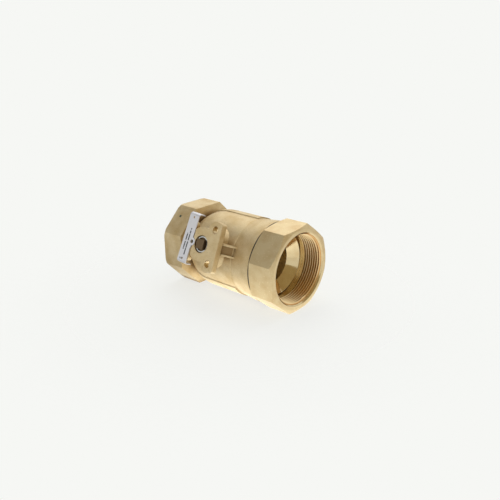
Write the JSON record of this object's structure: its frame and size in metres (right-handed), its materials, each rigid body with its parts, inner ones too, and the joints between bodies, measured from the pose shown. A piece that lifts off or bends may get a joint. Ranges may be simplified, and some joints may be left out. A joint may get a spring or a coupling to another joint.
{
  "type": "control ball valve",
  "caption": "Straight-through control ball valve: octagonal threaded ends, a round brass body, a flat actuator pad with a square-ended stem, and a ball that turns to throttle flow.",
  "frame": {"origin": "middle of the ball, where the pipe axis and the stem axis cross", "axes": "+X along the pipe axis toward the screwed-in end connector, +Z along the stem toward the actuator, +Y across the actuator pad"},
  "size_m": [0.1254, 0.0758, 0.0873],
  "materials": {
    "cast_brass": "rough, blasted casting",
    "turned_brass": "machined, satin",
    "plated_ball": "polished plating",
    "seat_plastic": "smooth matte",
    "seal_rubber": "matte",
    "joint_rubber": "matte",
    "stem_steel": "dark, satin",
    "ring_steel": "satin",
    "tag_sheet": "printed, matte"
  },
  "bodies": {
    "housing": {"valve_body": "cast_brass", "end_connector": "turned_brass", "joint_seal": "joint_rubber", "body_seat": "seat_plastic", "connector_seat": "seat_plastic", "body_seat_seal": "seal_rubber", "connector_seat_seal": "seal_rubber", "nose_seal": "seal_rubber", "stem_washer": "seat_plastic", "guard_ring": "ring_steel", "flow_disc": "ring_steel", "disc_clip": "ring_steel", "tag": "tag_sheet"},
    "shutter": {"ball": "plated_ball", "stem": "stem_steel", "lower_stem_seal": "seal_rubber", "upper_stem_seal": "seal_rubber"}
  },
  "joints": [
    {"name": "quarter_turn", "type": "hinge", "parent": "housing", "child": "shutter", "pos_m": [0, 0, 0], "axis": [0, 0, 1], "range_deg": [-90, 0]}
  ]
}
